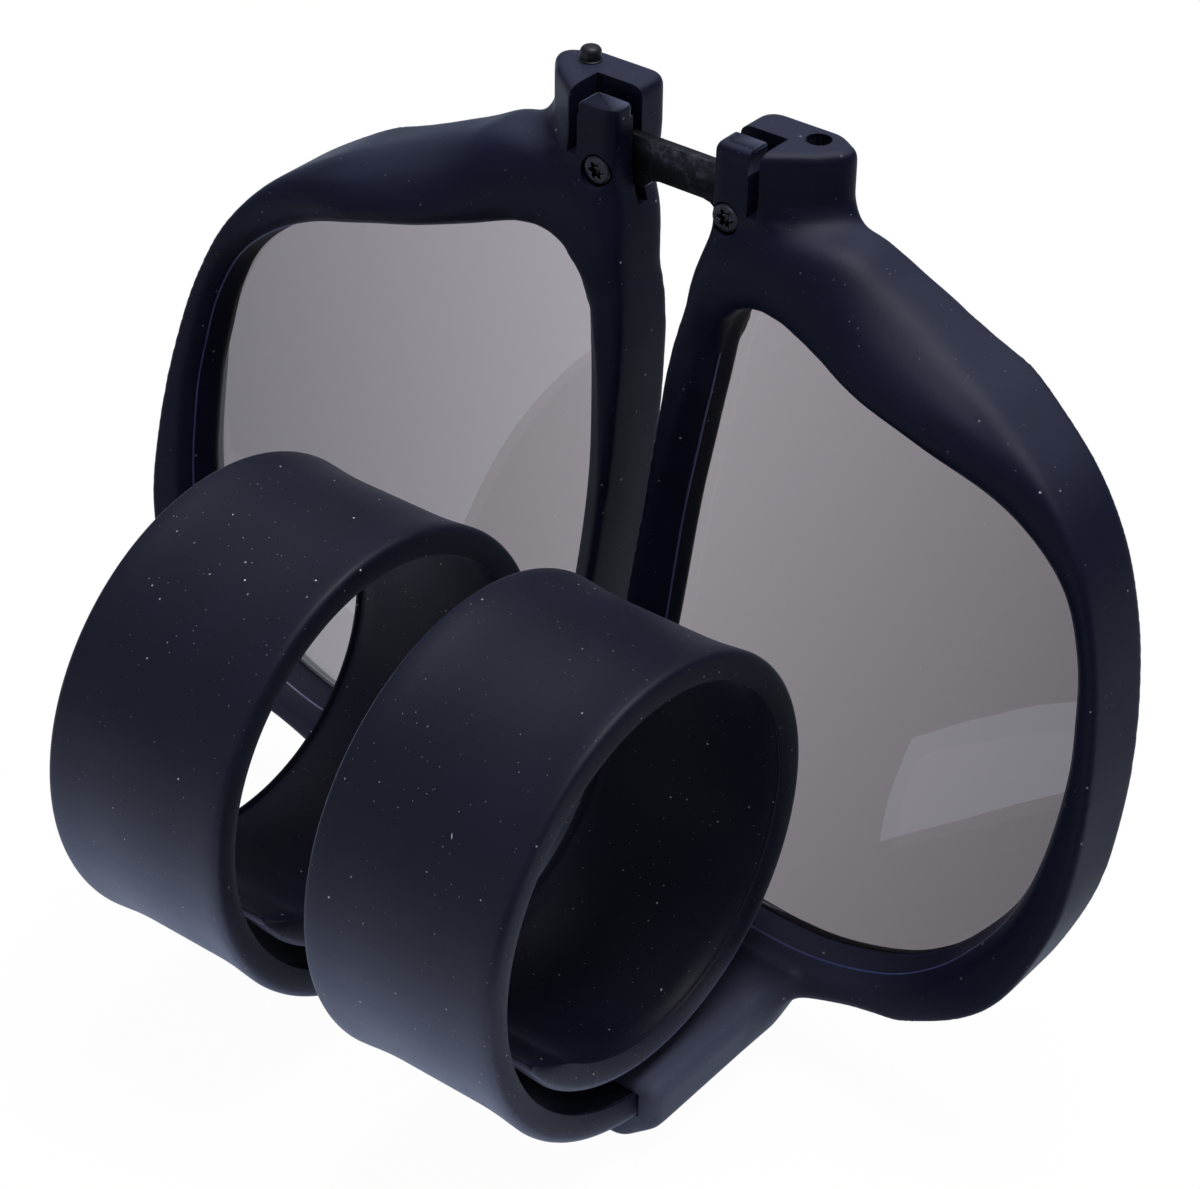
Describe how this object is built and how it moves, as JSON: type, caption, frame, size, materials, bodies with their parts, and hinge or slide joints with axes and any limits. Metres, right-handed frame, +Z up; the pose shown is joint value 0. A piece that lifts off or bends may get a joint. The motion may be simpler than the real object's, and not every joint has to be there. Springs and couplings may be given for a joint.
{
  "type": "folding sunglasses",
  "caption": "Folding sunglasses with smoked lenses and wide coiling spring bands, shown folded in half and coiled up.",
  "frame": {"origin": "middle of the bounding box's underside: the plane that the two end pieces stand on", "axes": "+Z up towards the hinge blocks, +X from the left half (the wearer's right) to the right half, -Y the wearer's side, where the bands are coiled"},
  "size_m": [0.099, 0.0581, 0.0753],
  "materials": {
    "frame_plastic": "soft-touch matte black moulded plastic",
    "band_silicone": "matt black silicone sleeve",
    "lens": "smoked, with a faint gradient",
    "link_metal": "blackened steel, scuffed",
    "screw_metal": "blackened steel",
    "peg_metal": "dark peg, satin",
    "spring_steel": "bare spring steel, hidden inside the sleeve"
  },
  "bodies": {
    "bridge": {"bridge_link": "link_metal"},
    "half_right": {"frame_right": "frame_plastic", "lens_right": "lens", "pivot_screw_right": "screw_metal", "spring_strip_right": "spring_steel", "anchor_pin_inner_right": "spring_steel", "anchor_pin_outer_right": "spring_steel", "band_root_right": "band_silicone"},
    "coil_right_01": {"band_right_01": "band_silicone"},
    "coil_right_02": {"band_right_02": "band_silicone"},
    "coil_right_03": {"band_right_03": "band_silicone"},
    "coil_right_04": {"band_right_04": "band_silicone"},
    "coil_right_05": {"band_right_05": "band_silicone"},
    "coil_right_06": {"band_right_06": "band_silicone"},
    "coil_right_07": {"band_right_07": "band_silicone"},
    "coil_right_08": {"band_right_08": "band_silicone"},
    "coil_right_09": {"band_right_09": "band_silicone"},
    "coil_right_10": {"band_right_10": "band_silicone"},
    "coil_right_11": {"band_right_11": "band_silicone"},
    "coil_right_12": {"band_right_12": "band_silicone"},
    "coil_right_13": {"band_right_13": "band_silicone"},
    "coil_right_14": {"band_right_14": "band_silicone"},
    "coil_right_15": {"band_right_15": "band_silicone"},
    "coil_right_16": {"band_right_16": "band_silicone"},
    "coil_right_17": {"band_right_17": "band_silicone"},
    "coil_right_18": {"band_right_18": "band_silicone"},
    "coil_right_19": {"band_right_19": "band_silicone"},
    "coil_right_20": {"band_right_20": "band_silicone"},
    "half_left": {"frame_left": "frame_plastic", "lens_left": "lens", "pivot_screw_left": "screw_metal", "spring_strip_left": "spring_steel", "anchor_pin_inner_left": "spring_steel", "anchor_pin_outer_left": "spring_steel", "band_root_left": "band_silicone", "locating_peg": "peg_metal"},
    "coil_left_01": {"band_left_01": "band_silicone"},
    "coil_left_02": {"band_left_02": "band_silicone"},
    "coil_left_03": {"band_left_03": "band_silicone"},
    "coil_left_04": {"band_left_04": "band_silicone"},
    "coil_left_05": {"band_left_05": "band_silicone"},
    "coil_left_06": {"band_left_06": "band_silicone"},
    "coil_left_07": {"band_left_07": "band_silicone"},
    "coil_left_08": {"band_left_08": "band_silicone"},
    "coil_left_09": {"band_left_09": "band_silicone"},
    "coil_left_10": {"band_left_10": "band_silicone"},
    "coil_left_11": {"band_left_11": "band_silicone"},
    "coil_left_12": {"band_left_12": "band_silicone"},
    "coil_left_13": {"band_left_13": "band_silicone"},
    "coil_left_14": {"band_left_14": "band_silicone"},
    "coil_left_15": {"band_left_15": "band_silicone"},
    "coil_left_16": {"band_left_16": "band_silicone"},
    "coil_left_17": {"band_left_17": "band_silicone"},
    "coil_left_18": {"band_left_18": "band_silicone"},
    "coil_left_19": {"band_left_19": "band_silicone"},
    "coil_left_20": {"band_left_20": "band_silicone"}
  },
  "joints": [
    {"name": "fold_right", "type": "hinge", "parent": "bridge", "child": "half_right", "pos_m": [0.0065, 0.02464, 0.0676], "axis": [0, -1, 0], "range_deg": [0, 90]},
    {"name": "fold_left", "type": "hinge", "parent": "bridge", "child": "half_left", "pos_m": [-0.0065, 0.02464, 0.0676], "axis": [0, 1, 0], "range_deg": [0, 90]},
    {"name": "unroll_right_01", "type": "hinge", "parent": "half_right", "child": "coil_right_01", "pos_m": [0.01385, -0.01041, 0.00524], "axis": [1, 0, 0], "range_deg": [0, 20.3], "deforming": ["spring_strip_right"]},
    {"name": "unroll_right_02", "type": "hinge", "parent": "coil_right_01", "child": "coil_right_02", "pos_m": [0.01385, -0.01745, 0.00803], "axis": [1, 0, 0], "range_deg": [0, 20.32]},
    {"name": "unroll_right_03", "type": "hinge", "parent": "coil_right_02", "child": "coil_right_03", "pos_m": [0.01385, -0.02298, 0.013], "axis": [1, 0, 0], "range_deg": [0, 20.32]},
    {"name": "unroll_right_04", "type": "hinge", "parent": "coil_right_03", "child": "coil_right_04", "pos_m": [0.01385, -0.02638, 0.01947], "axis": [1, 0, 0], "range_deg": [0, 20.32]},
    {"name": "unroll_right_05", "type": "hinge", "parent": "coil_right_04", "child": "coil_right_05", "pos_m": [0.01385, -0.02731, 0.02658], "axis": [1, 0, 0], "range_deg": [0, 20.32]},
    {"name": "unroll_right_06", "type": "hinge", "parent": "coil_right_05", "child": "coil_right_06", "pos_m": [0.01385, -0.02575, 0.03344], "axis": [1, 0, 0], "range_deg": [0, 20.32]},
    {"name": "unroll_right_07", "type": "hinge", "parent": "coil_right_06", "child": "coil_right_07", "pos_m": [0.01385, -0.02198, 0.03921], "axis": [1, 0, 0], "range_deg": [0, 20.32]},
    {"name": "unroll_right_08", "type": "hinge", "parent": "coil_right_07", "child": "coil_right_08", "pos_m": [0.01385, -0.01654, 0.04324], "axis": [1, 0, 0], "range_deg": [0, 20.32]},
    {"name": "unroll_right_09", "type": "hinge", "parent": "coil_right_08", "child": "coil_right_09", "pos_m": [0.01385, -0.01018, 0.04509], "axis": [1, 0, 0], "range_deg": [0, 20.32]},
    {"name": "unroll_right_10", "type": "hinge", "parent": "coil_right_09", "child": "coil_right_10", "pos_m": [0.01385, -0.00369, 0.04464], "axis": [1, 0, 0], "range_deg": [0, 20.32]},
    {"name": "unroll_right_11", "type": "hinge", "parent": "coil_right_10", "child": "coil_right_11", "pos_m": [0.01385, 0.00215, 0.04199], "axis": [1, 0, 0], "range_deg": [0, 20.32]},
    {"name": "unroll_right_12", "type": "hinge", "parent": "coil_right_11", "child": "coil_right_12", "pos_m": [0.01385, 0.00666, 0.03754], "axis": [1, 0, 0], "range_deg": [0, 20.32]},
    {"name": "unroll_right_13", "type": "hinge", "parent": "coil_right_12", "child": "coil_right_13", "pos_m": [0.01385, 0.0093, 0.03188], "axis": [1, 0, 0], "range_deg": [0, 19.56]},
    {"name": "unroll_right_14", "type": "hinge", "parent": "coil_right_13", "child": "coil_right_14", "pos_m": [0.01385, 0.00981, 0.02574], "axis": [1, 0, 0], "range_deg": [0, 18.8]},
    {"name": "unroll_right_15", "type": "hinge", "parent": "coil_right_14", "child": "coil_right_15", "pos_m": [0.01385, 0.00818, 0.01989], "axis": [1, 0, 0], "range_deg": [0, 18.04]},
    {"name": "unroll_right_16", "type": "hinge", "parent": "coil_right_15", "child": "coil_right_16", "pos_m": [0.01385, 0.00468, 0.01504], "axis": [1, 0, 0], "range_deg": [0, 17.27]},
    {"name": "unroll_right_17", "type": "hinge", "parent": "coil_right_16", "child": "coil_right_17", "pos_m": [0.01385, -0.00022, 0.01175], "axis": [1, 0, 0], "range_deg": [0, 16.51]},
    {"name": "unroll_right_18", "type": "hinge", "parent": "coil_right_17", "child": "coil_right_18", "pos_m": [0.01385, -0.00614, 0.01032], "axis": [1, 0, 0], "range_deg": [0, 15.75]},
    {"name": "unroll_right_19", "type": "hinge", "parent": "coil_right_18", "child": "coil_right_19", "pos_m": [0.01385, -0.01243, 0.01107], "axis": [1, 0, 0], "range_deg": [0, 14.99]},
    {"name": "unroll_right_20", "type": "hinge", "parent": "coil_right_19", "child": "coil_right_20", "pos_m": [0.01385, -0.01828, 0.01406], "axis": [1, 0, 0], "range_deg": [0, 14.23]},
    {"name": "unroll_left_01", "type": "hinge", "parent": "half_left", "child": "coil_left_01", "pos_m": [-0.01385, -0.01041, 0.00524], "axis": [1, 0, 0], "range_deg": [0, 20.3], "deforming": ["spring_strip_left"]},
    {"name": "unroll_left_02", "type": "hinge", "parent": "coil_left_01", "child": "coil_left_02", "pos_m": [-0.01385, -0.01745, 0.00803], "axis": [1, 0, 0], "range_deg": [0, 20.32]},
    {"name": "unroll_left_03", "type": "hinge", "parent": "coil_left_02", "child": "coil_left_03", "pos_m": [-0.01385, -0.02298, 0.013], "axis": [1, 0, 0], "range_deg": [0, 20.32]},
    {"name": "unroll_left_04", "type": "hinge", "parent": "coil_left_03", "child": "coil_left_04", "pos_m": [-0.01385, -0.02638, 0.01947], "axis": [1, 0, 0], "range_deg": [0, 20.32]},
    {"name": "unroll_left_05", "type": "hinge", "parent": "coil_left_04", "child": "coil_left_05", "pos_m": [-0.01385, -0.02731, 0.02658], "axis": [1, 0, 0], "range_deg": [0, 20.32]},
    {"name": "unroll_left_06", "type": "hinge", "parent": "coil_left_05", "child": "coil_left_06", "pos_m": [-0.01385, -0.02575, 0.03344], "axis": [1, 0, 0], "range_deg": [0, 20.32]},
    {"name": "unroll_left_07", "type": "hinge", "parent": "coil_left_06", "child": "coil_left_07", "pos_m": [-0.01385, -0.02198, 0.03921], "axis": [1, 0, 0], "range_deg": [0, 20.32]},
    {"name": "unroll_left_08", "type": "hinge", "parent": "coil_left_07", "child": "coil_left_08", "pos_m": [-0.01385, -0.01654, 0.04324], "axis": [1, 0, 0], "range_deg": [0, 20.32]},
    {"name": "unroll_left_09", "type": "hinge", "parent": "coil_left_08", "child": "coil_left_09", "pos_m": [-0.01385, -0.01018, 0.04509], "axis": [1, 0, 0], "range_deg": [0, 20.32]},
    {"name": "unroll_left_10", "type": "hinge", "parent": "coil_left_09", "child": "coil_left_10", "pos_m": [-0.01385, -0.00369, 0.04464], "axis": [1, 0, 0], "range_deg": [0, 20.32]},
    {"name": "unroll_left_11", "type": "hinge", "parent": "coil_left_10", "child": "coil_left_11", "pos_m": [-0.01385, 0.00215, 0.04199], "axis": [1, 0, 0], "range_deg": [0, 20.32]},
    {"name": "unroll_left_12", "type": "hinge", "parent": "coil_left_11", "child": "coil_left_12", "pos_m": [-0.01385, 0.00666, 0.03754], "axis": [1, 0, 0], "range_deg": [0, 20.32]},
    {"name": "unroll_left_13", "type": "hinge", "parent": "coil_left_12", "child": "coil_left_13", "pos_m": [-0.01385, 0.0093, 0.03188], "axis": [1, 0, 0], "range_deg": [0, 19.56]},
    {"name": "unroll_left_14", "type": "hinge", "parent": "coil_left_13", "child": "coil_left_14", "pos_m": [-0.01385, 0.00981, 0.02574], "axis": [1, 0, 0], "range_deg": [0, 18.8]},
    {"name": "unroll_left_15", "type": "hinge", "parent": "coil_left_14", "child": "coil_left_15", "pos_m": [-0.01385, 0.00818, 0.01989], "axis": [1, 0, 0], "range_deg": [0, 18.04]},
    {"name": "unroll_left_16", "type": "hinge", "parent": "coil_left_15", "child": "coil_left_16", "pos_m": [-0.01385, 0.00468, 0.01504], "axis": [1, 0, 0], "range_deg": [0, 17.27]},
    {"name": "unroll_left_17", "type": "hinge", "parent": "coil_left_16", "child": "coil_left_17", "pos_m": [-0.01385, -0.00022, 0.01175], "axis": [1, 0, 0], "range_deg": [0, 16.51]},
    {"name": "unroll_left_18", "type": "hinge", "parent": "coil_left_17", "child": "coil_left_18", "pos_m": [-0.01385, -0.00614, 0.01032], "axis": [1, 0, 0], "range_deg": [0, 15.75]},
    {"name": "unroll_left_19", "type": "hinge", "parent": "coil_left_18", "child": "coil_left_19", "pos_m": [-0.01385, -0.01243, 0.01107], "axis": [1, 0, 0], "range_deg": [0, 14.99]},
    {"name": "unroll_left_20", "type": "hinge", "parent": "coil_left_19", "child": "coil_left_20", "pos_m": [-0.01385, -0.01828, 0.01406], "axis": [1, 0, 0], "range_deg": [0, 14.23]}
  ],
  "couplings": [
    {"joint": "fold_left", "follows": "fold_right", "ratio": 1},
    {"joint": "unroll_right_02", "follows": "unroll_right_01", "ratio": 1},
    {"joint": "unroll_right_03", "follows": "unroll_right_01", "ratio": 1},
    {"joint": "unroll_right_04", "follows": "unroll_right_01", "ratio": 1},
    {"joint": "unroll_right_05", "follows": "unroll_right_01", "ratio": 1},
    {"joint": "unroll_right_06", "follows": "unroll_right_01", "ratio": 1},
    {"joint": "unroll_right_07", "follows": "unroll_right_01", "ratio": 1},
    {"joint": "unroll_right_08", "follows": "unroll_right_01", "ratio": 1},
    {"joint": "unroll_right_09", "follows": "unroll_right_01", "ratio": 1},
    {"joint": "unroll_right_10", "follows": "unroll_right_01", "ratio": 1},
    {"joint": "unroll_right_11", "follows": "unroll_right_01", "ratio": 1},
    {"joint": "unroll_right_12", "follows": "unroll_right_01", "ratio": 1},
    {"joint": "unroll_right_13", "follows": "unroll_right_01", "ratio": 0.9625},
    {"joint": "unroll_right_14", "follows": "unroll_right_01", "ratio": 0.925},
    {"joint": "unroll_right_15", "follows": "unroll_right_01", "ratio": 0.8875},
    {"joint": "unroll_right_16", "follows": "unroll_right_01", "ratio": 0.85},
    {"joint": "unroll_right_17", "follows": "unroll_right_01", "ratio": 0.8125},
    {"joint": "unroll_right_18", "follows": "unroll_right_01", "ratio": 0.775},
    {"joint": "unroll_right_19", "follows": "unroll_right_01", "ratio": 0.7375},
    {"joint": "unroll_right_20", "follows": "unroll_right_01", "ratio": 0.7},
    {"joint": "unroll_left_02", "follows": "unroll_left_01", "ratio": 1},
    {"joint": "unroll_left_03", "follows": "unroll_left_01", "ratio": 1},
    {"joint": "unroll_left_04", "follows": "unroll_left_01", "ratio": 1},
    {"joint": "unroll_left_05", "follows": "unroll_left_01", "ratio": 1},
    {"joint": "unroll_left_06", "follows": "unroll_left_01", "ratio": 1},
    {"joint": "unroll_left_07", "follows": "unroll_left_01", "ratio": 1},
    {"joint": "unroll_left_08", "follows": "unroll_left_01", "ratio": 1},
    {"joint": "unroll_left_09", "follows": "unroll_left_01", "ratio": 1},
    {"joint": "unroll_left_10", "follows": "unroll_left_01", "ratio": 1},
    {"joint": "unroll_left_11", "follows": "unroll_left_01", "ratio": 1},
    {"joint": "unroll_left_12", "follows": "unroll_left_01", "ratio": 1},
    {"joint": "unroll_left_13", "follows": "unroll_left_01", "ratio": 0.9625},
    {"joint": "unroll_left_14", "follows": "unroll_left_01", "ratio": 0.925},
    {"joint": "unroll_left_15", "follows": "unroll_left_01", "ratio": 0.8875},
    {"joint": "unroll_left_16", "follows": "unroll_left_01", "ratio": 0.85},
    {"joint": "unroll_left_17", "follows": "unroll_left_01", "ratio": 0.8125},
    {"joint": "unroll_left_18", "follows": "unroll_left_01", "ratio": 0.775},
    {"joint": "unroll_left_19", "follows": "unroll_left_01", "ratio": 0.7375},
    {"joint": "unroll_left_20", "follows": "unroll_left_01", "ratio": 0.7}
  ]
}
